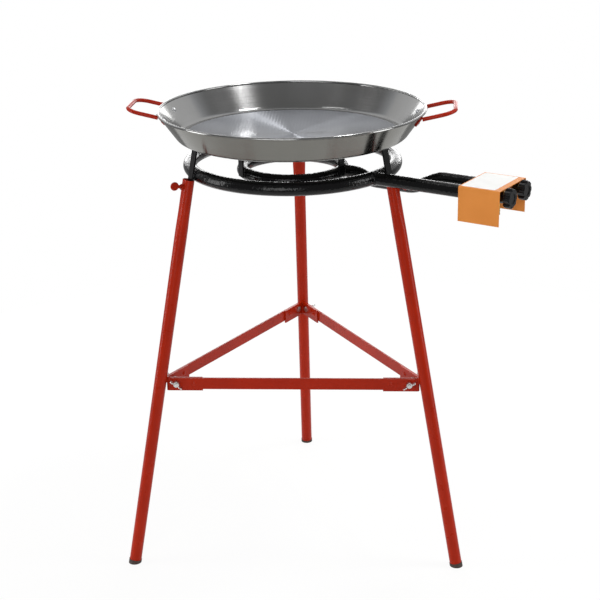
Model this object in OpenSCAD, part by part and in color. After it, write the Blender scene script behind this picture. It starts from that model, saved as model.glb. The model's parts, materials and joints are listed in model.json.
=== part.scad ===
// Gas paella burner: a shallow pan on two ring burners, carried by a bolted tripod.
// Millimetres, +Z up, floor at z = 0, +X along the feed tubes towards the control knobs.

/* [Pan] */
// Diameter of the pan over its rim
pan_d = 500; // [440:5:540]
// Height of the pan from the base to the top of the rim
pan_h = 52; // [44:1:62]
// Diameter of the flat base
pan_base_d = 412; // [380:2:424]
// Thickness of the pan's sheet
pan_wall = 1.5; // [1:0.1:2.5]
// Outside radius of the curve between base and wall
pan_corner_r = 14; // [10:1:20]
// Diameter of the rolled bead round the rim
rim_bead_d = 5; // [4:0.5:7]

/* [Pan handles] */
// Direction of the first handle seen from above, from the feed tubes
handle_angle = 27; // [15:1:60]
// Diameter of the handle's rod
handle_rod_d = 7.5; // [6:0.5:9]
// Distance between the two arms of a handle
handle_w = 103; // [90:1:120]
// Distance from the rim to the middle of the grip
handle_reach = 53; // [45:1:65]
// Bend radius of the rod's two corners
handle_bend_r = 25; // [15:1:32]
// Angle by which a handle rises outwards
handle_tilt = 13; // [8:1:16]
// Diameter of the flattened end of an arm
handle_pad_d = 13; // [11:1:15]
// Thickness of the flattened end of an arm
handle_pad_t = 3; // [2:0.5:4]
// Distance from the top of the rim down to the rivets
rivet_drop = 18; // [16:1:22]
// Diameter of a rivet's shank
rivet_d = 5; // [4:0.5:6]
// Diameter of a rivet's head
rivet_head_d = 9; // [8:0.5:11]

/* [Burner rings] */
// Height of the outer ring's middle above the floor
ring_z = 756; // [700:2:800]
// Diameter of the outer ring along the middle of its tube
outer_ring_d = 385; // [360:5:400]
// Tube diameter of the outer ring
outer_tube_d = 25; // [22:0.5:28]
// Diameter of the inner ring along the middle of its tube
inner_ring_d = 187; // [170:1:200]
// Tube diameter of the inner ring
inner_tube_d = 23; // [20:0.5:25]
// How much lower the inner ring lies than the outer one
inner_drop = 12; // [8:0.5:18]
// Wall thickness of the burner's tubes
burner_wall = 1.5; // [1:0.1:2]
// Diameter of a flame port
port_d = 2.4; // [1.8:0.1:3]
// Distance from one flame port to the next along the tube
port_pitch = 14; // [10:1:20]
// Angle of the flame ports above the level, towards the middle
port_rise = 60; // [45:1:80]

/* [Feed tubes] */
// Outside diameter of a feed tube
feed_d = 23; // [20:0.5:24]
// Distance between the two feed tubes
feed_gap = 60; // [54:1:64]
// Distance from the burner's axis to the open end of the feed tubes
feed_end = 400; // [380:1:430]
// Where the inner feed tube starts to dip, from the burner's axis
dip_start = 124; // [120:1:128]
// Where the dip reaches its depth
dip_end = 156; // [152:1:162]
// Where the inner feed tube starts to rise again
rise_start = 242; // [236:1:250]
// Where the rise is complete
rise_end = 294; // [288:1:304]
// Bend radius of the inner feed tube
feed_bend_r = 55; // [40:1:60]
// Length of an air window near the open end
window_l = 12; // [8:1:14]
// Height of an air window
window_h = 8; // [6:0.5:10]

/* [Valves and knobs] */
// Diameter of the valve body's collar, which carries the cover
collar_d = 29.6; // [27:0.2:32]
// Length of the valve body's collar
collar_l = 18; // [16:1:22]
// Diameter of the bosses at both ends of the valve body
boss_d = 22; // [18:1:24]
// Length of each boss
boss_l = 8; // [7:0.5:10]
// Diameter of the valve's stem
stem_d = 8; // [6:0.5:9]
// Diameter of the injector's threaded stub
stub_d = 11; // [9:0.5:12]
// Diameter of the pipe between the valves
manifold_d = 14; // [12:0.5:16]
// Outside diameter of the hose tail
tail_d = 10; // [8:0.5:11]
// Length of the hose tail below the pipe's block
tail_l = 32; // [26:1:36]
// Number of ribs on the hose tail
tail_ribs = 4; // [3:1:5]
// Diameter of a knob over its lobes
knob_d = 36; // [32:1:38]
// Length of a knob's grip
knob_l = 13; // [10:1:16]
// Number of lobes on a knob
knob_lobes = 8; // [6:1:10]
// Radius of one lobe
lobe_r = 3.6; // [3:0.1:4.5]
// Diameter of a knob's hub
hub_d = 20; // [16:1:22]
// Length of a knob's hub behind the grip
hub_l = 12; // [10:0.5:14]

/* [Cover] */
// Length of the folded cover along the feed tubes
cover_l = 77; // [70:1:84]
// Width of the cover over its side panels
cover_w = 107; // [102:1:114]
// Height of the side panels
cover_h = 62; // [56:1:66]
// Thickness of the cover's sheet
cover_t = 1; // [0.8:0.1:1.5]
// Bend radius of the cover's folds, at mid thickness
cover_bend_r = 2; // [1.5:0.1:3]
// Distance from the cover's front edge to the knob's grip
cover_knob_gap = 1.5; // [1:0.5:3]

/* [Pan supports] */
// Width of the supports' flat bar
support_w = 18; // [15:0.5:19]
// Thickness of the supports' flat bar
support_t = 3; // [2.5:0.1:3.5]
// Bend radius of the flat bar, at mid thickness
support_bend_r = 6; // [4:0.5:9]
// Distance from the top of the outer ring to the pan
flame_gap = 39.5; // [32:0.5:48]
// How far the flat bar reaches into a leg
spigot_l = 48; // [42:1:56]

/* [Legs] */
// Outside diameter of a leg's tube
leg_d = 23; // [22:0.5:26]
// Wall thickness of a leg's tube
leg_wall = 1.5; // [1.2:0.1:1.8]
// Lean of a leg from the upright
leg_lean = 11.2; // [9:0.1:13]
// Distance from the middle of the outer ring down to the top of a leg
leg_top_drop = 6; // [4:0.5:10]
// Depth of the leg's pressed top end
flat_d = 19; // [18:0.5:20]
// Length of the leg's pressed top end
flat_l = 60; // [58:1:70]
// Length of the change from the pressed end to the round tube
flat_blend_l = 35; // [25:1:45]
// Diameter of a foot plug
plug_d = 24.5; // [23:0.5:28]
// Height of a foot plug below the tube
plug_h = 7; // [6:0.5:12]
// Length of the plug inside the tube
plug_insert_l = 22; // [15:1:30]

/* [Thumb screws] */
// Diameter of the screws' stems
screw_d = 6; // [5:0.5:7]
// Distance from the top of a leg to a screw
screw_drop = 14; // [12:1:18]
// Diameter of a screw's flat head
screw_head_d = 16; // [13:1:18]
// Thickness of a screw's flat head
screw_head_t = 4; // [3:0.5:5]
// Free length of the stem between nut and head
screw_neck = 4; // [3:0.5:7]
// Height of the nut on a leg
leg_nut_h = 4; // [3:0.5:5]
// Size of that nut across its corners
leg_nut_d = 11; // [10:0.5:13]

/* [Brace] */
// Height of the middle of the brace bars above the floor
brace_z = 363; // [320:1:420]
// Height of a brace bar's section
brace_h = 22.5; // [20:0.5:24]
// Thickness of a brace bar
brace_t = 3; // [2.5:0.1:4]
// Distance from the middle of a leg to the end of a brace bar
brace_end = 21; // [18:0.5:23]
// Height of a leg bracket
bracket_h = 27; // [25:0.5:30]
// Thickness of a leg bracket
bracket_t = 3; // [2.5:0.1:4]
// Bend radius of a bracket's fold, at mid thickness
bracket_bend_r = 2.5; // [2:0.1:4]
// How much lower the brackets sit than the bars
bracket_drop = 2; // [0:0.5:3]
// Distance from the middle of a leg to the end of a bracket's wing
wing_end = 80; // [74:1:90]
// Distance from the middle of a leg to the brace bolts
bolt_at = 31; // [30:0.5:34]
// Distance from the middle of a leg to the brace rivets
brace_rivet_at = 64; // [58:1:68]
// Diameter of the brace bolts
bolt_d = 6; // [5:0.5:6]
// Height of a wing nut's hub
nut_h = 7; // [6:0.5:9]
// Diameter of a wing nut's hub
nut_d = 10.5; // [9.5:0.5:12]
// Span of a wing nut over its wings
nut_span = 27; // [24:1:28]
// Height of a wing nut's wings
nut_wing_h = 12; // [10:0.5:14]
// Thickness of a wing nut's wings
nut_wing_t = 2; // [1.6:0.1:2.5]

/* [Fits] */
// Gap between welded or seated pieces
seat = 0.1; // [0.05:0.05:0.2]
// Gap round a turning shaft
run = 0.05; // [0.03:0.01:0.1]
// Gap between pieces that lift or turn apart
clear = 0.3; // [0.2:0.05:0.5]

/* [Hidden] */
$fn = 64;
legs = 3;
leg_step = 360 / legs;
hull_fn = 32;
slice = 0.2;
lap = 0.1;
swell = 1.003;

outer_r = outer_ring_d / 2;
inner_r = inner_ring_d / 2;
inner_z = ring_z - inner_drop;
feed_y = feed_gap / 2;
feed_r = feed_d / 2;
feed_bore = feed_d - 2 * burner_wall;
dip_z = ring_z - outer_tube_d / 2 - seat - feed_r;

pan_z = ring_z + outer_tube_d / 2 + flame_gap;
support_z = pan_z - clear - support_t / 2;
support_in_r = inner_r + inner_tube_d / 2 + seat + support_t / 2;

// Pressed leg end: a slot shape with the same girth as the round tube
flat_w = flat_d + PI * (leg_d - flat_d) / 2;
flat_bore_d = flat_d - 2 * leg_wall;
flat_bore_half = flat_w / 2 - leg_wall;
slot_straight = flat_bore_half - flat_bore_d / 2;
// The flat bar wedges where the slot is as narrow as the bar
spigot_face = sqrt(pow(flat_bore_d / 2, 2) - pow(support_w / 2 - slot_straight, 2)) - seat;
spigot_off = spigot_face - support_t / 2;
spigot_ring = outer_tube_d / 2 + seat + support_t / 2;
leg_ring = spigot_ring + spigot_off;

leg_tan = tan(leg_lean);
foot_r = outer_r + leg_ring * cos(leg_lean) + (ring_z + leg_ring * sin(leg_lean)) * leg_tan;
leg_top_z = ring_z - leg_top_drop;
leg_l = leg_top_z / cos(leg_lean);
spigot_r0 = outer_r + spigot_ring * cos(leg_lean);
spigot_z0 = ring_z + spigot_ring * sin(leg_lean);

// Brace: the brackets fold to the angle between two neighbouring sides of the triangle
brace_leg_r = foot_r - brace_z * leg_tan;
bracket_z = brace_z - bracket_drop;
bracket_top_r = foot_r - (bracket_z + bracket_h / 2) * leg_tan;
bracket_back_r = bracket_top_r - leg_d / 2 / cos(leg_lean) - seat;
bracket_corner_r = bracket_back_r - bracket_t / 2 + bracket_bend_r * (1 / cos(leg_step / 2) - 1);
wing_in = bracket_corner_r * cos(leg_step / 2);
bar_in = wing_in + bracket_t / 2 + seat + brace_t / 2;
chord_half = brace_leg_r * sin(leg_step / 2);
bar_l = 2 * (chord_half - brace_end);
nut_in = bar_in + brace_t / 2 + clear;
bolt_tip = nut_in + nut_h + bolt_d / 2;
nut_turn = 65;

// Valve train along a feed tube, measured from the burner's axis
flange_l = 4;
plug_l = 6;
nozzle_l = 18;
valve_x = feed_end + seat + flange_l + seat;
collar_x = valve_x + boss_l;
manifold_x = collar_x + collar_l / 2;
valve_end = collar_x + collar_l + boss_l;
stub_l = boss_l;
gas_bore = 4;
hub_x = valve_end + clear;
knob_x = hub_x + hub_l;
knob_face = knob_x + knob_l;
cover_front = knob_x - cover_knob_gap;
stem_in = boss_l + stem_d * 3 / 4;
stem_out = knob_x + knob_l * 0.6;
manifold_half = feed_y - collar_d / 2 - seat;
spigot_d = manifold_d - 4;
port_spigot_l = 5;
block_w = manifold_d + 4;
tail_bore = tail_d - 4;
tail_thread_d = tail_d + 2;
tail_in = 6;
tail_nut_h = 5;
tail_rib = 0.8;
cover_top = ring_z + collar_d / 2 + seat + cover_t / 2;

// Handle plane and arm ends
bead_c = [pan_d / 2 - rim_bead_d / 2, pan_h - rim_bead_d / 2];
corner_c = [pan_base_d / 2, pan_corner_r];
corner_mid = pan_corner_r - pan_wall / 2;
bead_v = bead_c - corner_c;
wall_start = atan2(bead_v.y, bead_v.x) - acos(corner_mid / norm(bead_v));
wall_rise = wall_start + 90;
wall_l = sqrt(pow(norm(bead_v), 2) - pow(corner_mid, 2));
handle_z = pan_h - rim_bead_d - handle_rod_d / 2 - clear;
rivet_z = pan_h - rivet_drop;
arm_stand = (handle_rod_d / 2 + clear) / sin(wall_rise);
arm_curve = pow(handle_w / 2, 2) / pan_d;
arm_slope = cos(handle_tilt) - sin(handle_tilt) / tan(wall_rise);
arm_end = (wall_r(handle_z) + arm_stand - pan_d / 2 - arm_curve) / arm_slope;
pad_rise = (handle_z + arm_end * sin(handle_tilt) + (handle_rod_d / 2 + clear) * cos(wall_rise) - rivet_z)
    / sin(wall_rise);
arm_turn = atan2(handle_w / 2, pan_d / 2 + arm_end * cos(handle_tilt));

// Place of the burner's axis, which puts the middle of the whole object at x = 0
grip_turn = handle_angle + 180;
grip_c_x = pan_d / 2 + (handle_reach - handle_bend_r) * cos(handle_tilt);
grip_c_y = handle_w / 2 - handle_bend_r;
grip_n_x = -sin(handle_tilt) * cos(grip_turn);
grip_far = -grip_c_x * cos(grip_turn) + grip_c_y * abs(sin(grip_turn))
    + handle_bend_r * sqrt(1 - pow(grip_n_x, 2)) + handle_rod_d / 2;
axis_x = (grip_far - knob_face) / 2;

// Outside radius of the pan's wall at a height above its base
function wall_r(z) = bead_c.x - (bead_c.y - z) / tan(wall_rise) + pan_wall / 2 / sin(wall_rise);
function spigot_r(z) = spigot_r0 + (spigot_z0 - z) * leg_tan;
function leg_turn(i) = (i - 1) * leg_step;
function ring_reach(r) = sqrt(pow(r, 2) - pow(feed_y, 2));

// Shapes used by several sub-parts

function seg_angle(p, i) = atan2(p[i + 1].y - p[i].y, p[i + 1].x - p[i].x);
function turn_raw(p, i) = seg_angle(p, i) - seg_angle(p, i - 1);
function turn(p, i) = turn_raw(p, i) > 180 ? turn_raw(p, i) - 360
    : turn_raw(p, i) < -180 ? turn_raw(p, i) + 360 : turn_raw(p, i);
function is_end(p, i) = i == 0 || i == len(p) - 1;
function trim(p, i, r) = r * tan(abs(turn(p, i)) / 2);
function reach(p, i, r) = is_end(p, i) ? 0 : trim(p, i, r) - lap;

// Sweeps a symmetric section along a flat path with rounded corners. The straights are a hair thicker
// than the bends and reach into them, so the pieces join as one solid.
module sweep(p, r) {
    for (i = [0 : len(p) - 2]) {
        from = reach(p, i, r);
        translate(p[i]) rotate(seg_angle(p, i)) translate([from, 0]) rotate([90, 0, 90])
            linear_extrude(norm(p[i + 1] - p[i]) - from - reach(p, i + 1, r)) scale(swell) children();
    }
    for (i = [1 : len(p) - 2])
        translate(p[i]) rotate(seg_angle(p, i - 1))
            translate([-trim(p, i, r), sign(turn(p, i)) * r])
                rotate(turn(p, i) > 0 ? -90 : 90 + turn(p, i))
                    rotate_extrude(angle = abs(turn(p, i))) translate([r, 0]) children();
}

// Turns a shape drawn along Z so that it lies along X
module along_x() {
    rotate([0, 90, 0]) children();
}

module at_burner() {
    translate([axis_x, 0, 0]) children();
}

// Frame of leg i: origin on the floor, Z up along the leg, X outwards
module on_leg(i) {
    at_burner() rotate(leg_turn(i)) translate([foot_r, 0, 0]) rotate([0, -leg_lean, 0]) children();
}

// Frame of brace side i, between leg i and the next: X along the bar, Y outwards
module on_side(i) {
    at_burner() rotate(leg_turn(i) + leg_step / 2 - 90) translate([0, 0, brace_z]) children();
}

// A fastener's axis through a brace side, at a distance from its leg: Z points outwards
module at_side_hole(i, end, from_leg) {
    on_side(i) translate([end * (chord_half - from_leg), 0, 0]) rotate([-90, 0, 0]) children();
}

module all_side_holes(from_leg) {
    for (i = [1 : legs], end = [-1, 1]) at_side_hole(i, end, from_leg) children();
}

module ring_section(d, wall) {
    difference() {
        circle(d = d);
        circle(d = d - 2 * wall);
    }
}

// Slot shape, wide along Y
module slot(d, w, fn = $fn) {
    square([d, w - d], center = true);
    for (s = [-1, 1]) translate([0, s * (w - d) / 2]) circle(d = d, $fn = fn);
}

// Pan

module pan_profile() {
    square([corner_c.x, pan_wall]);
    translate(corner_c) intersection() {
        difference() {
            circle(r = pan_corner_r);
            circle(r = pan_corner_r - pan_wall);
        }
        polygon([[0, 0], [0, -2 * pan_corner_r], [2 * pan_corner_r, -2 * pan_corner_r],
            3 * pan_corner_r * [cos(wall_start), sin(wall_start)]]);
    }
    translate(corner_c) rotate(wall_start) translate([corner_mid - swell * pan_wall / 2, -lap])
        square([swell * pan_wall, wall_l + lap]);
    translate(bead_c) circle(d = rim_bead_d);
}

// Frames of the four rivets: origin on the pan's outer wall, Z outwards
module at_rivet(hand, side) {
    rotate(handle_angle + 180 * hand + side * arm_turn) translate([wall_r(rivet_z), 0, rivet_z])
        rotate([0, 180 - wall_rise, 0]) children();
}

module at_pan() {
    translate([axis_x, 0, pan_z]) children();
}

module pan() {
    color("lightslategray") at_pan() difference() {
        rotate_extrude($fn = 180) pan_profile();
        for (hand = [0, 1], side = [-1, 1])
            at_rivet(hand, side) cylinder(d = rivet_d + 2 * seat, h = 4 * pan_wall, center = true);
    }
}

module pan_handle(hand) {
    w = handle_w / 2;
    path = [[arm_end, -w], [handle_reach, -w], [handle_reach, w], [arm_end, w]];
    color("firebrick") at_pan() difference() {
        union() {
            rotate(handle_angle + 180 * hand) translate([pan_d / 2, 0, handle_z])
                rotate([0, -handle_tilt, 0]) sweep(path, handle_bend_r) circle(d = handle_rod_d);
            for (side = [-1, 1]) handle_end(hand, side);
        }
        for (side = [-1, 1])
            at_rivet(hand, side) cylinder(d = rivet_d + 2 * seat, h = 8 * handle_pad_t, center = true);
    }
}

// An arm's end, flattened to a pad that lies on the pan's wall and stops level with the rod
module handle_end(hand, side) {
    rise = pad_rise - (handle_pad_d - handle_rod_d) / 2;
    at_rivet(hand, side) translate([-rise / 2, 0, seat]) rotate(90)
        linear_extrude(handle_pad_t) slot(handle_pad_d, rise + handle_pad_d);
}

module handle_rivets() {
    head_h = rivet_head_d / 3;
    color("silver") at_pan() for (hand = [0, 1], side = [-1, 1]) at_rivet(hand, side) {
        translate([0, 0, -pan_wall - seat]) rivet_head(head_h, -1);
        translate([0, 0, -pan_wall - 2 * seat])
            cylinder(d = rivet_d, h = pan_wall + handle_pad_t + 4 * seat);
        translate([0, 0, handle_pad_t + 2 * seat]) rivet_head(head_h / 2, 1);
    }
}

module rivet_head(h, side) {
    dome_r = (pow(rivet_head_d / 2, 2) + pow(h, 2)) / (2 * h);
    intersection() {
        translate([0, 0, side * (h - dome_r)]) sphere(r = dome_r);
        translate([0, 0, side > 0 ? 0 : -h]) cylinder(d = rivet_head_d, h = h);
    }
}

// Burner

// A hollow ring with a row of flame ports and the opening for its feed tube
module burner_ring(r, tube_d, z, feed_side) {
    ports = floor(2 * PI * (r - tube_d / 2 * cos(port_rise)) / port_pitch);
    color("#1b1b1d") at_burner() translate([0, 0, z]) difference() {
        rotate_extrude($fn = 180) translate([r, 0]) ring_section(tube_d, burner_wall);
        for (k = [0 : ports - 1])
            rotate(360 * (k + 0.5) / ports) translate([r, 0, 0]) rotate([0, port_rise - 90, 0])
                rotate(90) cylinder(d = port_d, h = tube_d, $fn = 16);
        translate([ring_reach(r), feed_side * feed_y, 0]) along_x() cylinder(d = feed_bore, h = tube_d);
    }
}

// The solid a ring takes up, with a welding gap round it
module ring_room(r, tube_d, z) {
    translate([0, 0, z]) rotate_extrude($fn = 180) translate([r, 0]) circle(d = tube_d + 2 * seat);
}

module outer_ring() {
    burner_ring(outer_r, outer_tube_d, ring_z, -1);
}

module inner_ring() {
    burner_ring(inner_r, inner_tube_d, inner_z, 1);
}

module air_windows(side) {
    translate([feed_end - 2 * plug_l - window_l, side * feed_y - feed_d, ring_z - window_h / 2])
        cube([window_l, 2 * feed_d, window_h]);
}

module feed_straight(side, from, to, z) {
    translate([from, side * feed_y, z]) along_x()
        linear_extrude(to - from) ring_section(feed_d, burner_wall);
}

module outer_feed_tube() {
    color("#1b1b1d") at_burner() difference() {
        feed_straight(-1, ring_reach(outer_r), feed_end, ring_z);
        ring_room(outer_r, outer_tube_d, ring_z);
        air_windows(-1);
    }
}

// The inner feed leaves its ring, dips under the outer one and rises to the height of the valves
module inner_feed_tube() {
    start = inner_r + inner_tube_d / 2 + seat;
    level = rise_end + feed_bend_r;
    path = [[start, inner_z], [dip_start, inner_z], [dip_end, dip_z],
        [rise_start, dip_z], [rise_end, ring_z], [level, ring_z]];
    color("#1b1b1d") at_burner() {
        difference() {
            feed_straight(1, ring_reach(inner_r), start + lap, inner_z);
            ring_room(inner_r, inner_tube_d, inner_z);
        }
        translate([0, feed_y, 0]) rotate([90, 0, 0])
            sweep(path, feed_bend_r) ring_section(feed_d, burner_wall);
        difference() {
            feed_straight(1, level - lap, feed_end, ring_z);
            air_windows(1);
        }
    }
}

// A flat bar from inside the leg, past the outer ring, under the pan and down to the inner ring
module pan_support(i) {
    foot_z = leg_top_z - spigot_l * cos(leg_lean);
    path = [[spigot_r(foot_z), foot_z], [spigot_r(support_z), support_z],
        [support_in_r, support_z], [support_in_r, inner_z - support_t]];
    color("#1b1b1d") at_burner() rotate(leg_turn(i)) rotate([90, 0, 0])
        sweep(path, support_bend_r) square([support_t, support_w], center = true);
}

// Valve train

module at_valve(side, x) {
    at_burner() translate([x, side * feed_y, ring_z]) along_x() children();
}

module injector(side) {
    color("goldenrod") at_valve(side, feed_end) difference() {
        union() {
            translate([0, 0, -plug_l - nozzle_l]) cylinder(d1 = stub_d / 2, d2 = stub_d, h = nozzle_l);
            translate([0, 0, -plug_l]) cylinder(d = feed_bore - 2 * seat, h = plug_l + 2 * seat);
            translate([0, 0, seat]) cylinder(d = feed_d, h = flange_l);
            translate([0, 0, flange_l]) cylinder(d = stub_d, h = stub_l);
        }
        translate([0, 0, -plug_l - nozzle_l - 1])
            cylinder(d = gas_bore / 2, h = 2 * (plug_l + nozzle_l + stub_l));
    }
}

module valve_body(side) {
    color("goldenrod") at_valve(side, valve_x) difference() {
        union() {
            cylinder(d = boss_d, h = 2 * boss_l + collar_l);
            translate([0, 0, boss_l]) cylinder(d = collar_d, h = collar_l);
        }
        translate([0, 0, -1]) cylinder(d = stub_d + 2 * seat, h = stub_l + 1);
        translate([0, 0, valve_end - valve_x - stem_in]) cylinder(d = stem_d + 2 * run, h = stem_in + 1);
        translate([0, 0, stub_l - 1]) cylinder(d = gas_bore, h = valve_end - valve_x - stem_in);
        translate([0, 0, manifold_x - valve_x]) rotate([side * 90, 0, 0]) {
            cylinder(d = gas_bore, h = collar_d);
            translate([0, 0, collar_d / 2 - port_spigot_l]) cylinder(d = spigot_d + 2 * seat, h = collar_d);
        }
    }
}

module valve_stem(side) {
    color("silver") at_valve(side, valve_end - stem_in + clear)
        cylinder(d = stem_d, h = stem_out - valve_end + stem_in - clear);
}

module knob(side) {
    color("#161618") difference() {
        union() {
            at_valve(side, knob_x) knob_grip();
            at_valve(side, hub_x) cylinder(d = hub_d, h = knob_x - hub_x + 1);
        }
        at_valve(side, hub_x - 1) cylinder(d = stem_d + 2 * seat, h = stem_out - hub_x + 1 + seat);
    }
}

// A lobed grip with a softened rim and a shallow dish in its face
module knob_grip() {
    body_r = knob_d / 2 - lobe_r / 2;
    edge = knob_l / 6;
    difference() {
        intersection() {
            linear_extrude(knob_l) {
                circle(r = body_r - lobe_r / 2);
                for (k = [0 : knob_lobes - 1])
                    rotate(360 * k / knob_lobes) translate([knob_d / 2 - lobe_r, 0]) circle(r = lobe_r);
            }
            rotate_extrude() polygon([[0, 0], [knob_d / 2 - edge, 0], [knob_d / 2, edge],
                [knob_d / 2, knob_l - edge], [knob_d / 2 - edge, knob_l], [0, knob_l]]);
        }
        translate([0, 0, knob_l - edge / 2]) cylinder(r = body_r - 2 * lobe_r, h = knob_l);
    }
}

module gas_manifold() {
    color("goldenrod") at_burner() translate([manifold_x, 0, ring_z]) difference() {
        union() {
            rotate([90, 0, 0]) cylinder(d = manifold_d, h = 2 * manifold_half, center = true);
            rotate([90, 0, 0]) cylinder(d = spigot_d, h = 2 * (manifold_half + port_spigot_l), center = true);
            cube(block_w, center = true);
        }
        rotate([90, 0, 0]) cylinder(d = gas_bore, h = 2 * feed_gap, center = true);
        translate([0, 0, -block_w]) cylinder(d = gas_bore, h = block_w);
        translate([0, 0, -block_w / 2 - 1]) cylinder(d = tail_thread_d + 2 * seat, h = tail_in + 1 + seat);
    }
}

module hose_tail() {
    rib_step = (tail_l - tail_nut_h) / (tail_ribs + 1);
    color("goldenrod") at_burner() translate([manifold_x, 0, ring_z - block_w / 2]) mirror([0, 0, 1])
        difference() {
            union() {
                translate([0, 0, -tail_in]) cylinder(d = tail_thread_d, h = tail_in + tail_nut_h);
                cylinder(d = tail_d, h = tail_l);
                translate([0, 0, seat]) cylinder(d = block_w, h = tail_nut_h, $fn = 6);
            }
            for (k = [1 : tail_ribs]) translate([0, 0, tail_l - k * rib_step]) hose_groove(rib_step / 2);
            translate([0, 0, -tail_in - 1]) cylinder(d = tail_bore, h = tail_in + tail_l + 2);
        }
}

// Cut behind a barb: deepest where the barb stops the hose from slipping off
module hose_groove(h) {
    rotate_extrude() polygon([[tail_d, 0], [tail_d / 2, 0], [tail_d / 2 - tail_rib, h], [tail_d, h]]);
}

module valve_cover() {
    half = (cover_w - cover_t) / 2;
    foot = cover_top + cover_t / 2 - cover_h;
    path = [[-half, foot], [-half, cover_top], [half, cover_top], [half, foot]];
    color("#d2823c") at_burner() translate([cover_front - cover_l / 2, 0, 0]) rotate([90, 0, 90])
        sweep(path, cover_bend_r) square([cover_t, cover_l], center = true);
}

// Legs

module leg_blend(d, flat, w) {
    hull() {
        linear_extrude(slice) circle(d = d, $fn = hull_fn);
        translate([0, 0, flat_blend_l - slice]) linear_extrude(slice) slot(flat, w, hull_fn);
    }
}

module leg(i) {
    bore = leg_d - 2 * leg_wall;
    color("firebrick") on_leg(i) difference() {
        union() {
            translate([0, 0, plug_h]) linear_extrude(leg_l - flat_l - flat_blend_l - plug_h)
                ring_section(leg_d, leg_wall);
            translate([0, 0, leg_l - flat_l - flat_blend_l]) difference() {
                leg_blend(leg_d, flat_d, flat_w);
                leg_blend(bore, flat_bore_d, 2 * flat_bore_half);
            }
            translate([0, 0, leg_l - flat_l]) linear_extrude(flat_l) difference() {
                slot(flat_d, flat_w);
                slot(flat_bore_d, 2 * flat_bore_half);
            }
        }
        translate([0, 0, leg_l - screw_drop]) along_x() cylinder(d = screw_d + 2 * clear, h = leg_d);
    }
}

module foot_plug(i) {
    room = 2 * (foot_r + leg_d + abs(axis_x));
    color("#3c2d26") difference() {
        on_leg(i) {
            translate([0, 0, -plug_d]) cylinder(d = plug_d, h = plug_d + plug_h - seat);
            cylinder(d = leg_d - 2 * leg_wall - 2 * seat, h = plug_h + plug_insert_l);
        }
        translate([-room / 2, -room / 2, -room]) cube(room);
    }
}

module leg_nuts() {
    color("firebrick") for (i = [1 : legs])
        on_leg(i) translate([flat_d / 2 + seat, 0, leg_l - screw_drop]) along_x() difference() {
            cylinder(d = leg_nut_d, h = leg_nut_h, $fn = 6);
            translate([0, 0, -1]) cylinder(d = screw_d + 2 * run, h = leg_nut_h + 2);
        }
}

// The screw presses the flat bar against the inside of the leg
module thumb_screw(i) {
    tip = support_t - spigot_face + clear;
    neck_end = flat_d / 2 + seat + leg_nut_h + screw_neck;
    color("firebrick") on_leg(i) translate([0, 0, leg_l - screw_drop]) {
        translate([tip, 0, 0]) along_x() cylinder(d = screw_d, h = neck_end - tip + screw_head_t);
        translate([neck_end + screw_head_d / 2, 0, 0]) rotate([90, 0, 0]) rotate_extrude() {
            translate([0, -screw_head_t / 2]) square([(screw_head_d - screw_head_t) / 2, screw_head_t]);
            translate([(screw_head_d - screw_head_t) / 2, 0]) intersection() {
                circle(d = screw_head_t);
                translate([0, -screw_head_t]) square(2 * screw_head_t);
            }
        }
    }
}

// Brace

module leg_bracket(i) {
    reach = chord_half - wing_end;
    half_turn = leg_step / 2;
    far = sqrt(pow(wing_in, 2) + pow(reach, 2));
    swing = half_turn - atan2(reach, wing_in);
    path = [far * [cos(swing), -sin(swing)], [bracket_corner_r, 0], far * [cos(swing), sin(swing)]];
    color("firebrick") difference() {
        at_burner() rotate(leg_turn(i)) translate([0, 0, bracket_z])
            sweep(path, bracket_bend_r) square([bracket_t, bracket_h], center = true);
        all_side_holes(bolt_at) translate([0, 0, wing_in]) fastener_hole(bolt_d);
        all_side_holes(brace_rivet_at) translate([0, 0, wing_in]) fastener_hole(rivet_d);
    }
}

module fastener_hole(d) {
    cylinder(d = d + 2 * seat, h = 2 * (bracket_t + brace_t), center = true);
}

module brace_bar(i) {
    color("firebrick") difference() {
        on_side(i) translate([0, bar_in, 0]) cube([bar_l, brace_t, brace_h], center = true);
        for (end = [-1, 1]) {
            at_side_hole(i, end, bolt_at) translate([0, 0, bar_in]) fastener_hole(bolt_d);
            at_side_hole(i, end, brace_rivet_at) translate([0, 0, bar_in]) fastener_hole(rivet_d);
        }
    }
}

module brace_bolts() {
    head = wing_in - bracket_t / 2 - seat;
    color("silver") all_side_holes(bolt_at) {
        translate([0, 0, head - bolt_d / 2]) cylinder(d = 2 * bolt_d, h = bolt_d / 2);
        translate([0, 0, head - bolt_d / 4]) cylinder(d = bolt_d, h = bolt_tip - head + bolt_d / 4);
    }
}

module brace_rivets() {
    inner = wing_in - bracket_t / 2 - seat;
    outer = bar_in + brace_t / 2 + seat;
    head_h = rivet_head_d / 4;
    color("firebrick") all_side_holes(brace_rivet_at) {
        translate([0, 0, inner]) rivet_head(head_h, -1);
        translate([0, 0, inner - seat]) cylinder(d = rivet_d, h = outer - inner + 2 * seat);
        translate([0, 0, outer]) rivet_head(head_h / 2, 1);
    }
}

module wing_nut(k) {
    end = k % 2 == 1 ? 1 : -1;
    tip_r = nut_wing_h / 3;
    tip = [nut_span / 2 - tip_r, nut_wing_h - tip_r];
    color("gainsboro") at_side_hole(ceil(k / 2), end, bolt_at) translate([0, 0, nut_in])
        rotate(nut_turn * k) difference() {
            union() {
                cylinder(d1 = nut_d + nut_wing_t, d2 = nut_d, h = nut_h);
                for (s = [0, 180]) rotate([90, 0, s]) linear_extrude(nut_wing_t, center = true) {
                    polygon([[0, 0], [nut_d / 2, 0], [tip.x + tip_r, tip.y], [tip.x - tip_r, tip.y],
                        [nut_d / 2, nut_h], [0, nut_h]]);
                    translate(tip) circle(r = tip_r);
                }
            }
            translate([0, 0, -1]) cylinder(d = bolt_d + 2 * run, h = nut_wing_h + 2);
        }
}

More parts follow.
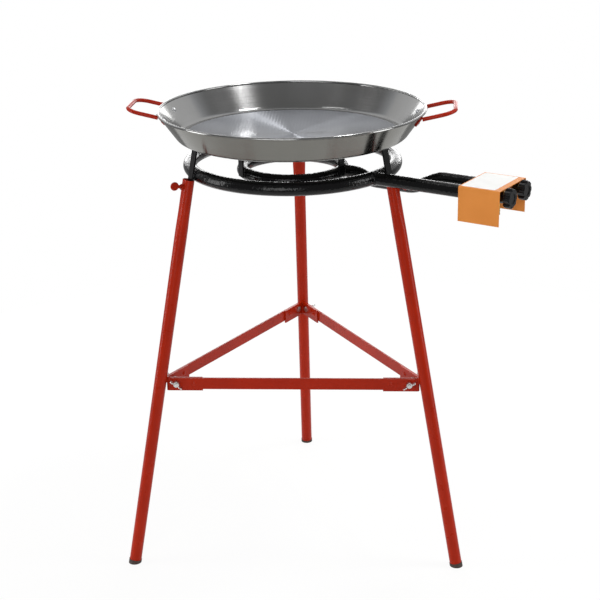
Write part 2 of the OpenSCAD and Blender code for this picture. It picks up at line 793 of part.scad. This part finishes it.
pan();
pan_handle(0);  // pan_handle_right
pan_handle(1);  // pan_handle_left
handle_rivets();
outer_ring();
inner_ring();
outer_feed_tube();
inner_feed_tube();
injector(-1);  // outer_injector
injector(1);  // inner_injector
valve_body(-1);  // outer_valve_body
valve_body(1);  // inner_valve_body
valve_stem(-1);  // outer_valve_stem
valve_stem(1);  // inner_valve_stem
knob(-1);  // outer_knob
knob(1);  // inner_knob
gas_manifold();
hose_tail();
valve_cover();
leg_nuts();
brace_bolts();
brace_rivets();
for (i = [1 : legs]) {
    pan_support(i);
    leg(i);
    foot_plug(i);
    thumb_screw(i);
    leg_bracket(i);
    brace_bar(i);
}
for (k = [1 : 2 * legs])
    wing_nut(k);
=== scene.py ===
import json
import math
import random

import bmesh
import bpy
from mathutils import Matrix, Vector

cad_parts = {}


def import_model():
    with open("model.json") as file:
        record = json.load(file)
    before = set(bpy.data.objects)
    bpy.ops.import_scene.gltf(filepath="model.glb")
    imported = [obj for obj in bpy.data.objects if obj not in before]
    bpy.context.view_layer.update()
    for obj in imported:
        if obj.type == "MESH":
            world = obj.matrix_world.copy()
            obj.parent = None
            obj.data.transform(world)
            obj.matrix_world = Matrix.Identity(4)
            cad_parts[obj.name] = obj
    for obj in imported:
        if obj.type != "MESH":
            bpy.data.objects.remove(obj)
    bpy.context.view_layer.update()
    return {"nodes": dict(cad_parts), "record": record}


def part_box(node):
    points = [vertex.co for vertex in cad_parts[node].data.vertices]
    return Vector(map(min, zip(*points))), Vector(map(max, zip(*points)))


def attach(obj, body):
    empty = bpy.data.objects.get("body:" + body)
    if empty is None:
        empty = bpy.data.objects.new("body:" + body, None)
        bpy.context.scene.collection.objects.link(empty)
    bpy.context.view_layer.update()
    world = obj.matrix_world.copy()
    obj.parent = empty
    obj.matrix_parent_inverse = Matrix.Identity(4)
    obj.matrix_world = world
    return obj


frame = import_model()

scene = bpy.context.scene
scene.view_settings.view_transform = "Standard"

# Sizes and places from the frame, in metres
ring_lo, ring_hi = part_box("outer_ring")
inner_lo, inner_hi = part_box("inner_ring")
pan_lo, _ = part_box("pan")
cover_lo, cover_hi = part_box("valve_cover")
axis = Vector(((ring_lo.x + ring_hi.x) / 2, 0, 0))
RING_Z = (ring_lo.z + ring_hi.z) / 2
INNER_Z = (inner_lo.z + inner_hi.z) / 2
OUTER_TUBE = (ring_hi.z - ring_lo.z) / 2
INNER_TUBE = (inner_hi.z - inner_lo.z) / 2
OUTER_R = (ring_hi.y - ring_lo.y) / 2 - OUTER_TUBE
INNER_R = (inner_hi.y - inner_lo.y) / 2 - INNER_TUBE

# Driving sizes of the model that the boxes don't give
SEAT = 0.0001
CLEAR = 0.0003
FEED_Y = 0.030
FEED_R = 0.0115
PAN_WALL = 0.0015
PAN_BASE_R = 0.206
SUPPORT_W = 0.018
LEGS = 3
LEG_LEAN = math.radians(11.2)
LEG_R = 0.0115
LEG_WALL = 0.0015
LEG_TOP_DROP = 0.006
FLAT_D = 0.019
LEG_NUT_H = 0.004
SCREW_R = 0.003
SCREW_DROP = 0.014
SCREW_NECK = 0.004
BRACE_Z = 0.363
BRACE_T = 0.003
BRACKET_H = 0.027
BRACKET_T = 0.003
BRACKET_BEND = 0.0025
BRACKET_DROP = 0.002
BOLT_R = 0.003
BOLT_AT = 0.031
NUT_H = 0.007

# Half the angle from one leg to the next
half_step = math.pi / LEGS

# A flat bar lies against the outer ring and wedges in the pressed end of its leg, which sets the leg's place
bore_straight = math.pi * (2 * LEG_R - FLAT_D) / 4
wedge = math.sqrt((FLAT_D / 2 - LEG_WALL) ** 2 - (SUPPORT_W / 2 - bore_straight) ** 2) - SEAT
ring_to_leg = OUTER_TUBE + SEAT + wedge
leg_at_ring_z = RING_Z + ring_to_leg * math.sin(LEG_LEAN)
FOOT_R = OUTER_R + ring_to_leg * math.cos(LEG_LEAN) + leg_at_ring_z * math.tan(LEG_LEAN)
LEG_L = (RING_Z - LEG_TOP_DROP) / math.cos(LEG_LEAN)
LEG_NUT_FACE = FLAT_D / 2 + SEAT + LEG_NUT_H

# The brackets' folds lie against the legs, and the brace bolts pass through bracket, bar and wing nut
BRACKET_TOP = BRACE_Z - BRACKET_DROP + BRACKET_H / 2
BRACKET_BACK_R = FOOT_R - BRACKET_TOP * math.tan(LEG_LEAN) - LEG_R / math.cos(LEG_LEAN) - SEAT
FOLD_R = BRACKET_BEND + BRACKET_T / 2
fold_corner = BRACKET_BACK_R - BRACKET_T / 2 + BRACKET_BEND * (1 / math.cos(half_step) - 1)
bar_face = fold_corner * math.cos(half_step) + BRACKET_T / 2 + SEAT + BRACE_T
WING_NUT_FACE = bar_face + CLEAR + NUT_H
BOLT_TIP = WING_NUT_FACE + BOLT_R
CHORD_HALF = (FOOT_R - BRACE_Z * math.tan(LEG_LEAN)) * math.sin(half_step)


# Material helpers

# Most of a noise texture's values lie in this range
NOISE_LO, NOISE_HI = 0.3, 0.7


def new_material(name):
    m = bpy.data.materials.new(name)
    m.use_nodes = True
    nt = m.node_tree
    bsdf = nt.nodes["Principled BSDF"]
    return m, nt, bsdf


def show(nt, shader):
    nt.links.new(shader, nt.nodes["Material Output"].inputs["Surface"])


def node(nt, kind, **values):
    """A new node with its settings, or else its sockets, set by name."""
    n = nt.nodes.new(kind)
    for key, value in values.items():
        if hasattr(n, key):
            setattr(n, key, value)
        else:
            n.inputs[key.replace("_", " ")].default_value = value
    return n


def object_coords(nt):
    return node(nt, "ShaderNodeTexCoord").outputs["Object"]


def turned_coords(nt, co):
    """Distance from the burner's axis and height, so that a pattern runs round the axis."""
    place = node(nt, "ShaderNodeVectorMath", operation="SUBTRACT")
    nt.links.new(co, place.inputs[0])
    place.inputs[1].default_value = axis
    parts = node(nt, "ShaderNodeSeparateXYZ")
    nt.links.new(place.outputs["Vector"], parts.inputs[0])
    flat = node(nt, "ShaderNodeCombineXYZ")
    nt.links.new(parts.outputs["X"], flat.inputs["X"])
    nt.links.new(parts.outputs["Y"], flat.inputs["Y"])
    reach = node(nt, "ShaderNodeVectorMath", operation="LENGTH")
    nt.links.new(flat.outputs[0], reach.inputs[0])
    turned = node(nt, "ShaderNodeCombineXYZ")
    nt.links.new(reach.outputs["Value"], turned.inputs["X"])
    nt.links.new(parts.outputs["Z"], turned.inputs["Y"])
    return turned.outputs[0]


def noise(nt, vector, scale, detail, rough=0.5):
    n = node(nt, "ShaderNodeTexNoise", Scale=scale, Detail=detail, Roughness=rough)
    nt.links.new(vector, n.inputs["Vector"])
    return n.outputs["Fac"]


def ramp(nt, fac, low, high):
    """A colour that goes from the low stop to the high one, each a place and a colour."""
    r = node(nt, "ShaderNodeValToRGB")
    for element, (place, colour) in zip(r.color_ramp.elements, (low, high)):
        element.position = place
        element.color = (*colour, 1)
    nt.links.new(fac, r.inputs["Fac"])
    return r.outputs["Color"]


def remap(nt, fac, a, b, lo, hi):
    n = node(nt, "ShaderNodeMapRange", From_Min=a, From_Max=b, To_Min=lo, To_Max=hi)
    nt.links.new(fac, n.inputs["Value"])
    return n.outputs["Result"]


def math_node(nt, operation, a, b, clamp=False):
    n = node(nt, "ShaderNodeMath", operation=operation, use_clamp=clamp)
    nt.links.new(a, n.inputs[0])
    nt.links.new(b, n.inputs[1])
    return n.outputs[0]


def bump(nt, bsdf, height, strength, distance):
    n = node(nt, "ShaderNodeBump", Strength=strength, Distance=distance)
    nt.links.new(height, n.inputs["Height"])
    nt.links.new(n.outputs["Normal"], bsdf.inputs["Normal"])


def srgb(r, g, b):
    def lin(c):
        c /= 255
        return c / 12.92 if c <= 0.04045 else ((c + 0.055) / 1.055) ** 2.4
    return lin(r), lin(g), lin(b)


# Materials

WHITE = (1, 1, 1)
# Painted shade: the warm grey that darkens the steel where it faces down, standing in for a dim reflection,
# and the upward part of the normal over which that fades
DOWN_SHADE = (0.62, 0.61, 0.56)
DOWN_SHADE_FULL, DOWN_SHADE_END = -0.45, 0.1
# A quarter turn lays the stretched highlight across the brushed lines
ACROSS = 0.25
# Sockets of a colour Mix node, whose names repeat
MIX_A, MIX_B, MIX_RESULT = 6, 7, 2


def turned_steel(name, dark, light, rough, stretch):
    """Bare steel with fine brushed lines round the pan's axis, with painted shade that darkens it where it
    faces down.
    """
    m, nt, b = new_material(name)
    co = object_coords(nt)
    tangent = node(nt, "ShaderNodeTangent", direction_type="RADIAL", axis="Z")
    nt.links.new(tangent.outputs["Tangent"], b.inputs["Tangent"])
    b.inputs["Metallic"].default_value = 1
    b.inputs["Anisotropic"].default_value = stretch
    b.inputs["Anisotropic Rotation"].default_value = ACROSS
    patches = noise(nt, co, scale=9, detail=4)
    colour = ramp(nt, patches, (NOISE_LO, dark), (NOISE_HI, light))
    facing = node(nt, "ShaderNodeSeparateXYZ")
    nt.links.new(node(nt, "ShaderNodeTexCoord").outputs["Normal"], facing.inputs[0])
    upward = remap(nt, facing.outputs["Z"], DOWN_SHADE_FULL, DOWN_SHADE_END, 0, 1)
    # Painted shade: multiplies the steel's colour darker and warmer where the normal faces down
    shaded = node(nt, "ShaderNodeMix", data_type="RGBA", blend_type="MULTIPLY")
    shaded.inputs["Factor"].default_value = 1
    nt.links.new(colour, shaded.inputs[MIX_A])
    nt.links.new(ramp(nt, upward, (0, DOWN_SHADE), (1, WHITE)), shaded.inputs[MIX_B])
    nt.links.new(shaded.outputs[MIX_RESULT], b.inputs["Base Color"])
    lines = noise(nt, turned_coords(nt, co), scale=800, detail=3)
    nt.links.new(remap(nt, lines, NOISE_LO, NOISE_HI, *rough), b.inputs["Roughness"])
    bump(nt, b, lines, strength=0.08, distance=0.0002)
    return m


def enamel():
    """Glossy black coat with an uneven surface and faint specks."""
    m, nt, b = new_material("black_enamel")
    co = object_coords(nt)
    speck = noise(nt, co, scale=900, detail=2, rough=0.6)
    colour = ramp(nt, speck, (0.55, srgb(8, 8, 9)), (0.75, srgb(20, 21, 21)))
    nt.links.new(colour, b.inputs["Base Color"])
    b.inputs["Specular IOR Level"].default_value = 0.24
    b.inputs["Roughness"].default_value = 0.08
    bump(nt, b, noise(nt, co, scale=230, detail=2), strength=0.8, distance=0.0009)
    return m


def finish(name, dark, light, rough, scales, strength, distance, metallic=0, gloss=0.5):
    """Colour and roughness that vary in patches over a fine grain, with a noise scale for each of them."""
    m, nt, b = new_material(name)
    co = object_coords(nt)
    colour_scale, rough_scale, grain_scale = scales
    patches = noise(nt, co, colour_scale, detail=4)
    colour = ramp(nt, patches, (NOISE_LO, dark), (NOISE_HI, light))
    nt.links.new(colour, b.inputs["Base Color"])
    wear = noise(nt, co, rough_scale, detail=3)
    roughness = remap(nt, wear, NOISE_LO, NOISE_HI, *rough)
    nt.links.new(roughness, b.inputs["Roughness"])
    b.inputs["Metallic"].default_value = metallic
    b.inputs["Specular IOR Level"].default_value = gloss
    bump(nt, b, noise(nt, co, grain_scale, detail=2), strength, distance)
    return m


def red_paint():
    colours = srgb(160, 32, 6), srgb(174, 38, 9)
    return finish("red_paint", *colours, rough=(0.26, 0.34), scales=(14, 60, 260),
                  strength=0.1, distance=0.0003, gloss=0.15)


def orange_paint():
    colours = srgb(221, 137, 60), srgb(228, 144, 66)
    return finish("orange_paint", *colours, rough=(0.42, 0.5), scales=(22, 90, 500),
                  strength=0.1, distance=0.0002, gloss=0.25)


def metal(name, dark, light, rough, scale):
    scales = scale, 3 * scale, 5 * scale
    return finish(name, dark, light, rough, scales, strength=0.1, distance=0.0002, metallic=1)


def plain(name, dark, light, rough, scale, grain, strength, gloss=0.5):
    scales = scale, 2 * scale, grain
    return finish(name, dark, light, rough, scales, strength, distance=0.0003, gloss=gloss)


MATERIALS = {
    "pan_steel": turned_steel("pan_steel", srgb(138, 138, 137), srgb(150, 150, 150),
                              rough=(0.14, 0.23), stretch=0.85),
    # Painted light: the pan floor's steel is lighter and bluer than pan_steel, standing in for a bright
    # bluish reflection; its rougher, more stretched brushing is real
    "floor_steel": turned_steel("floor_steel", srgb(152, 154, 159), srgb(163, 165, 170),
                                rough=(0.36, 0.44), stretch=0.97),
    "black_enamel": enamel(),
    "red_paint": red_paint(),
    "orange_paint": orange_paint(),
    "rivet_aluminium": metal("rivet_aluminium", srgb(205, 206, 208), srgb(225, 226, 228),
                             rough=(0.2, 0.3), scale=120),
    "brass": metal("brass", srgb(186, 146, 74), srgb(206, 168, 92),
                   rough=(0.22, 0.34), scale=90),
    "steel": metal("steel", srgb(190, 190, 190), srgb(210, 210, 210),
                   rough=(0.22, 0.32), scale=110),
    "zinc_steel": metal("zinc_steel", srgb(196, 197, 196), srgb(222, 222, 220),
                        rough=(0.24, 0.36), scale=140),
    "knob_plastic": plain("knob_plastic", srgb(10, 10, 12), srgb(16, 16, 18),
                          rough=(0.2, 0.3), scale=60, grain=500, strength=0.1, gloss=0.35),
    "plug_rubber": plain("plug_rubber", srgb(52, 40, 34), srgb(66, 52, 45),
                         rough=(0.6, 0.75), scale=70, grain=420, strength=0.25),
    "label_film": plain("label_film", srgb(224, 224, 221), srgb(232, 232, 229),
                        rough=(0.3, 0.4), scale=40, grain=300, strength=0.05),
}

slot_of = {s["node"]: s["material_slot"] for s in frame["record"]["subparts"]}
for name, obj in frame["nodes"].items():
    obj.data.materials.clear()
    obj.data.materials.append(MATERIALS[slot_of[name]])


# Camera at the photograph's viewing angle

# Focal length and picture width in pixels, sensor in millimetres, angles in radians, place from the axis
F_PX, IMAGE_PX, SENSOR = 1386.008, 600, 36.0
CAM_PITCH, CAM_YAW, CAM_ROLL = 0.35272, -0.05376, -0.01709
CAM_PLACE = Vector((0.14518, -2.52686, 1.41026))
CAM_FAR = 50
# Turn from the photograph's right and back to the frame's X and Y
FRAME_TURN = Matrix.Rotation(math.radians(30), 4, "Z")


def photo_camera():
    cp, sp = math.cos(CAM_PITCH), math.sin(CAM_PITCH)
    cy, sy = math.cos(CAM_YAW), math.sin(CAM_YAW)
    fwd = Vector((sy * cp, cy * cp, -sp))
    level = Vector((cy, -sy, 0))
    upright = level.cross(fwd)
    right = math.cos(CAM_ROLL) * level + math.sin(CAM_ROLL) * upright
    up = -math.sin(CAM_ROLL) * level + math.cos(CAM_ROLL) * upright
    pose = Matrix((right, up, -fwd)).transposed().to_4x4()
    pose.translation = CAM_PLACE
    cam = bpy.data.cameras.new("photo_camera")
    cam.sensor_width = SENSOR
    cam.lens = F_PX * SENSOR / IMAGE_PX
    cam.clip_end = CAM_FAR
    obj = bpy.data.objects.new("photo_camera", cam)
    obj.matrix_world = Matrix.Translation(axis) @ FRAME_TURN @ pose
    scene.collection.objects.link(obj)
    scene.camera = obj


def from_photo(right, back, up):
    """A place beside the burner's axis, as the photograph sees right, back and up."""
    return axis + FRAME_TURN @ Vector((right, back, up))


photo_camera()


# Floor and light

FLOOR_R = 1.5
FLOOR_DROP = 0.0005
FLOOR_COLOUR = (0.6, 0.6, 0.59, 1)
FLOOR_ROUGH = 0.9
# Strength of the floor's own white, and its share where the floor is seen
FLOOR_GLOW, FLOOR_SHARE = 1.06, 0.86

TENT_R = 4.5
TENT_LIGHT, TENT_GREY = (0.9, 0.92, 0.96), (0.3, 0.3, 0.3)
# Where the near side's grey starts and where it is full, in tent radii towards the near side
NEAR_EDGE, NEAR_FULL = -0.46, -0.2
# Height of the wall all round, and the height at which its grey is full
WALL_TOP, WALL_FULL = 1.5, 1.1

# Name, place and target as the photograph sees them, width, height and power in watts
LAMPS = (
    ("key", (0.9, 0.1, 2.9), (0, 0, 0.8), 0.34, 0.34, 18),
    ("second", (-0.75, 0.1, 2.9), (0, 0, 0.8), 0.4, 0.4, 1.5),
    ("back_low", (0, 2.8, 0.95), (0, 0, 0.95), 3.0, 0.8, 30),
    ("front", (-0.5, -2.8, 1.3), (0, 0, 0.5), 1.6, 1.6, 28),
    ("side_left", (-2.4, -0.4, 1.0), (0, 0, 0.6), 0.8, 2.2, 25),
    ("side_right", (2.4, -0.4, 1.0), (0, 0, 0.6), 0.8, 2.2, 22),
)


def stage_object(name, bm, place, material):
    me = bpy.data.meshes.new(name)
    bm.to_mesh(me)
    bm.free()
    me.materials.append(material)
    obj = bpy.data.objects.new(name, me)
    obj.location = place
    scene.collection.objects.link(obj)
    return obj


def background_rays(nt):
    """1 for rays that show the background itself: straight, mirrored or through glass."""
    path = node(nt, "ShaderNodeLightPath").outputs
    direct = math_node(nt, "ADD", path["Is Camera Ray"], path["Is Glossy Ray"])
    return math_node(nt, "ADD", direct, path["Is Transmission Ray"], clamp=True)


def floor_material():
    """Matte grey for light that bounces off it, and mostly plain white where it is seen."""
    m, nt, b = new_material("floor")
    b.inputs["Base Color"].default_value = FLOOR_COLOUR
    b.inputs["Roughness"].default_value = FLOOR_ROUGH
    white = node(nt, "ShaderNodeEmission", Strength=FLOOR_GLOW)
    share = node(nt, "ShaderNodeMath", operation="MULTIPLY")
    share.inputs[1].default_value = FLOOR_SHARE
    nt.links.new(background_rays(nt), share.inputs[0])
    mix = node(nt, "ShaderNodeMixShader")
    nt.links.new(share.outputs[0], mix.inputs[0])
    nt.links.new(b.outputs[0], mix.inputs[1])
    nt.links.new(white.outputs[0], mix.inputs[2])
    show(nt, mix.outputs[0])
    return m


def floor():
    bm = bmesh.new()
    bmesh.ops.create_circle(bm, cap_ends=True, segments=96, radius=FLOOR_R)
    stage_object("floor", bm, (axis.x, 0, -FLOOR_DROP), floor_material())


def tent_material(near):
    """Bright far edge, grey towards the near side and below the wall's top."""
    m, nt, _ = new_material("grey_tent")
    co = object_coords(nt)
    reach = node(nt, "ShaderNodeVectorMath", operation="DOT_PRODUCT")
    nt.links.new(co, reach.inputs[0])
    reach.inputs[1].default_value = near / TENT_R
    parts = node(nt, "ShaderNodeSeparateXYZ")
    nt.links.new(co, parts.inputs[0])
    nearer = remap(nt, reach.outputs["Value"], NEAR_EDGE, NEAR_FULL, 0, 1)
    lower = remap(nt, parts.outputs["Z"], WALL_TOP, WALL_FULL, 0, 1)
    grey = math_node(nt, "MAXIMUM", nearer, lower)
    glow = node(nt, "ShaderNodeEmission")
    nt.links.new(ramp(nt, grey, (0, TENT_LIGHT), (1, TENT_GREY)), glow.inputs["Color"])
    show(nt, glow.outputs[0])
    return m


def grey_tent():
    """Grey round the foot of the studio and over the photograph's near side, for steel to mirror."""
    near = from_photo(0, -1, 0) - axis
    bm = bmesh.new()
    bmesh.ops.create_uvsphere(bm, u_segments=72, v_segments=36, radius=TENT_R)
    opening = [v for v in bm.verts if v.co.z > WALL_TOP and v.co.dot(near) < NEAR_EDGE * TENT_R]
    bmesh.ops.delete(bm, geom=opening, context="VERTS")
    tent = stage_object("grey_tent", bm, axis, tent_material(near))
    tent.visible_camera = False


def area_light(name, place, target, width, height, power):
    lamp = bpy.data.lights.new(name, "AREA")
    lamp.shape = "RECTANGLE"
    lamp.size = width
    lamp.size_y = height
    lamp.energy = power
    obj = bpy.data.objects.new(name, lamp)
    obj.location = place
    obj.rotation_euler = (target - place).to_track_quat("-Z", "Y").to_euler()
    obj.visible_camera = False
    scene.collection.objects.link(obj)


def world():
    w = bpy.data.worlds.new("studio")
    scene.world = w
    w.use_nodes = True
    w.node_tree.nodes["Background"].inputs["Color"].default_value = (*WHITE, 1)


floor()
world()
grey_tent()
for name, place, target, width, height, power in LAMPS:
    area_light(name, from_photo(*place), from_photo(*target), width, height, power)


# Mesh helpers

def mesh_piece(name, verts, faces, material, body, smooth=True):
    me = bpy.data.meshes.new(name)
    me.from_pydata([tuple(v) for v in verts], [], faces)
    me.update()
    if smooth:
        me.shade_smooth()
    me.materials.append(MATERIALS[material])
    obj = bpy.data.objects.new(name, me)
    scene.collection.objects.link(obj)
    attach(obj, body)
    return obj


def tube_faces(rings, sides, closed):
    """Quads between rings of a tube, with end caps if it isn't closed on itself."""
    faces = []
    for i in range(rings if closed else rings - 1):
        j = (i + 1) % rings
        for k in range(sides):
            n = (k + 1) % sides
            faces.append((i * sides + k, i * sides + n, j * sides + n, j * sides + k))
    if not closed:
        faces.append(tuple(range(sides))[::-1])
        faces.append(tuple((rings - 1) * sides + k for k in range(sides)))
    return faces


def leg_turn(i):
    """Origin on the floor under the middle of the burner, X towards the leg."""
    return Matrix.Translation(axis) @ Matrix.Rotation(2 * half_step * i, 4, "Z")


def leg_frame(i):
    """Origin on the floor, Z up along the leg, X outwards."""
    lean = Matrix.Rotation(-LEG_LEAN, 4, "Y")
    return leg_turn(i) @ Matrix.Translation((FOOT_R, 0, 0)) @ lean


# Weld beads

OUTER = (OUTER_R, OUTER_TUBE, RING_Z)
INNER = (INNER_R, INNER_TUBE, INNER_Z)
HANDS = ((-1, "a"), (1, "b"))


def bead(name, points, radii, closed, material, seed):
    """A weld bead on the stand: a tube along points, with even ripples and a random part."""
    sides = 10
    ripple = 0.16
    ripple_turn = 1.9
    end_share = 0.5
    steep = 0.9
    rng = random.Random(seed)
    count = len(points)
    verts = []
    for i, p in enumerate(points):
        before = points[(i - 1) % count] if closed or i else p
        after = points[(i + 1) % count] if closed or i < count - 1 else p
        along = (after - before).normalized()
        side = along.orthogonal().normalized()
        if abs(along.z) < steep:
            side = along.cross(Vector((0, 0, 1))).normalized()
        top = side.cross(along).normalized()
        r = radii[i] * (1 + ripple * math.sin(i * ripple_turn) + rng.uniform(-ripple, ripple) / 2)
        if not closed and i in (0, count - 1):
            r *= end_share
        for k in range(sides):
            a = 2 * math.pi * k / sides
            verts.append(p + r * (math.cos(a) * side + math.sin(a) * top))
    return mesh_piece(name, verts, tube_faces(count, sides, closed), material, "stand")


def feed_weld(name, ring, side, seed):
    """A bead round the end of a feed tube, where it meets the curve of a ring."""
    bead_r = 0.0021
    steps = 56
    # The bead stays a little inside the ring's height
    height_share = 0.98
    ring_r, tube_r, z = ring
    points = []
    for i in range(steps):
        a = 2 * math.pi * i / steps
        y = side * FEED_Y + FEED_R * math.cos(a)
        dz = min(FEED_R, tube_r * height_share) * math.sin(a)
        reach = ring_r + math.sqrt(tube_r ** 2 - dz ** 2)
        points.append(axis + Vector((math.sqrt(reach ** 2 - y ** 2), y, z + dz)))
    obj = bead(name, points, [bead_r] * steps, True, "black_enamel", seed)


def support_weld(name, i, side, ring, start, end, seed):
    """A short bead up the edge of a flat bar at a ring, between two angles round the ring's tube."""
    bead_r = 0.0017
    beside_bar = 0.0008
    off_tube = 0.0005
    steps = 12
    ring_r, tube_r, z = ring
    y = side * (SUPPORT_W / 2 + beside_bar)
    points = []
    for k in range(steps):
        a = math.radians(start + (end - start) * k / (steps - 1))
        reach = ring_r + (tube_r + off_tube) * math.cos(a)
        place = Vector((math.sqrt(reach ** 2 - y ** 2), y, z + tube_r * math.sin(a)))
        points.append(leg_turn(i) @ place)
    obj = bead(name, points, [bead_r] * steps, False, "black_enamel", seed)


def bracket_weld(name, i, side, seed):
    """A bead down the corner between a leg and the fold of its bracket, wider as the leg leans away."""
    beside_middle = 0.0027
    below_top = 0.0012
    length = 0.0095
    sink = 0.0005
    steps = 10
    y = side * beside_middle
    leg_half = math.sqrt(LEG_R ** 2 - y ** 2) / math.cos(LEG_LEAN)
    fold = BRACKET_BACK_R - FOLD_R + math.sqrt(FOLD_R ** 2 - y ** 2)
    points, radii = [], []
    for k in range(steps):
        z = BRACKET_TOP - below_top - length * k / (steps - 1)
        leg_face = FOOT_R - z * math.tan(LEG_LEAN) - leg_half
        points.append(leg_turn(i) @ Vector(((leg_face + fold) / 2, y, z)))
        radii.append((leg_face - fold) / 2 + sink)
    obj = bead(name, points, radii, False, "red_paint", seed)


feed_weld("weld_outer_feed", OUTER, side=-1, seed=3)
feed_weld("weld_inner_feed", INNER, side=1, seed=4)
for i in range(LEGS):
    for side, hand in HANDS:
        support_weld(f"weld_outer_support_{i + 1}{hand}", i, side, OUTER, start=-18, end=42, seed=10 + i)
        support_weld(f"weld_inner_support_{i + 1}{hand}", i, side, INNER, start=-13, end=32, seed=20 + i)
        bracket_weld(f"weld_bracket_{i + 1}{hand}", i, side, seed=30 + i)


# Threads

# Gap from the leg's nut to the thread, and how far the thread runs into the screw's head
SCREW_GAP, SCREW_SINK = 0.00005, 0.00002
# Gap from the wing nut to the thread, and how far the thread stops short of the bolt's tip
BOLT_GAP, BOLT_SHORT = 0.0001, 0.00004


def thread(name, place, r, length, body, material):
    """A sleeve with a helical ridge along the place's X axis."""
    pitch = 0.001
    height = 0.00028
    off_stem = 0.00003
    sides, per_turn = 28, 8
    # The ridge fades out over this many rings at each end
    fade_rings = 3
    rings = int(length / pitch * per_turn) + 1
    verts = []
    for i in range(rings):
        x = length * i / (rings - 1)
        fade = min(1, min(i, rings - 1 - i) / fade_rings)
        for k in range(sides):
            a = 2 * math.pi * k / sides
            phase = (x / pitch + k / sides) % 1
            ridge = 1 - abs(2 * phase - 1)
            rr = r + off_stem + height * ridge * fade
            verts.append(place @ Vector((x, rr * math.cos(a), rr * math.sin(a))))
    obj = mesh_piece(name, verts, tube_faces(rings, sides, False), material, body)


def thumb_thread(i):
    start = LEG_NUT_FACE + SCREW_GAP
    length = SCREW_NECK - SCREW_GAP + SCREW_SINK
    at = leg_frame(i) @ Matrix.Translation((start, 0, LEG_L - SCREW_DROP))
    thread(f"thumb_thread_{i + 1}", at, SCREW_R, length, f"screw_{i + 1}", "red_paint")


def bolt_thread(i, end, hand):
    start = WING_NUT_FACE + BOLT_GAP
    length = BOLT_TIP - BOLT_SHORT - start
    outward = leg_turn(i) @ Matrix.Rotation(half_step, 4, "Z")
    at = outward @ Matrix.Translation((start, end * (CHORD_HALF - BOLT_AT), BRACE_Z))
    thread(f"bolt_thread_{i + 1}{hand}", at, BOLT_R, length, "stand", "zinc_steel")


for i in range(LEGS):
    thumb_thread(i)
for i in range(LEGS):
    for end, hand in HANDS:
        bolt_thread(i, end, hand)


# Blank film on the cover

def label():
    back_margin = 0.0025
    knob_margin = 0.0115
    side_margin = 0.005
    corner = 0.003
    gap = 0.00004
    film = 0.00015
    steps = 8
    lo = Vector((cover_lo.x + back_margin, cover_lo.y + side_margin))
    hi = Vector((cover_hi.x - knob_margin, cover_hi.y - side_margin))
    outline = []
    corners = ((hi.x, hi.y, 0), (lo.x, hi.y, 90), (lo.x, lo.y, 180), (hi.x, lo.y, 270))
    for x, y, start in corners:
        cx = x - corner if x == hi.x else x + corner
        cy = y - corner if y == hi.y else y + corner
        for k in range(steps + 1):
            a = math.radians(start + 90 * k / steps)
            outline.append((cx + corner * math.cos(a), cy + corner * math.sin(a)))
    bottom = cover_hi.z + gap
    verts = [(x, y, z) for z in (bottom, bottom + film) for x, y in outline]
    faces = tube_faces(2, len(outline), False)
    obj = mesh_piece("cover_label", verts, faces, "label_film", "stand", smooth=False)


label()


# Dimpled cooking surface

SECTORS = 6
DIMPLE_PITCH = 0.0075
DIMPLE_R = 0.003
DIMPLE_DEPTH = 0.0004
DIMPLE_ROW = DIMPLE_PITCH * math.sqrt(3) / 2


def dimple(x, y):
    """Depth at a point, with the dimples in rows that are shifted by half a pitch."""
    j = round(y / DIMPLE_ROW)
    shift = DIMPLE_PITCH / 2 if j % 2 else 0
    i = round((x - shift) / DIMPLE_PITCH)
    far = math.hypot(x - shift - i * DIMPLE_PITCH, y - j * DIMPLE_ROW)
    if far > DIMPLE_R:
        return 0
    return DIMPLE_DEPTH * (0.5 + 0.5 * math.cos(math.pi * far / DIMPLE_R))


def disc_faces(rings):
    """Triangles between a middle point and rings of points, each ring with one more point in every sector."""
    def at(i, k):
        return 1 + SECTORS * i * (i - 1) // 2 + k % (SECTORS * i) if i else 0

    faces = []
    for i in range(1, rings + 1):
        for sector in range(SECTORS):
            for k in range(i):
                outer = sector * i + k
                inner = sector * (i - 1) + k
                faces.append((at(i, outer), at(i, outer + 1), at(i - 1, inner)))
                if k < i - 1:
                    faces.append((at(i - 1, inner), at(i, outer + 1), at(i - 1, inner + 1)))
    return faces


def pan_floor():
    """A thin sheet over the pan's base with rows of shallow pressed dimples, down to the base at its edge."""
    margin = 0.003
    lift = 0.0005
    step = 0.0015
    radius = PAN_BASE_R - margin
    base = pan_lo.z + PAN_WALL
    rings = int(radius / step)
    verts = [axis + Vector((0, 0, base + lift - dimple(0, 0)))]
    for i in range(1, rings + 1):
        r = radius * i / rings
        count = SECTORS * i
        for k in range(count):
            a = 2 * math.pi * k / count
            x, y = r * math.cos(a), r * math.sin(a)
            z = base + lift - dimple(x, y) if i < rings else base
            verts.append(axis + Vector((x, y, z)))
    obj = mesh_piece("pan_dimples", verts, disc_faces(rings), "floor_steel", "pan_body")


pan_floor()
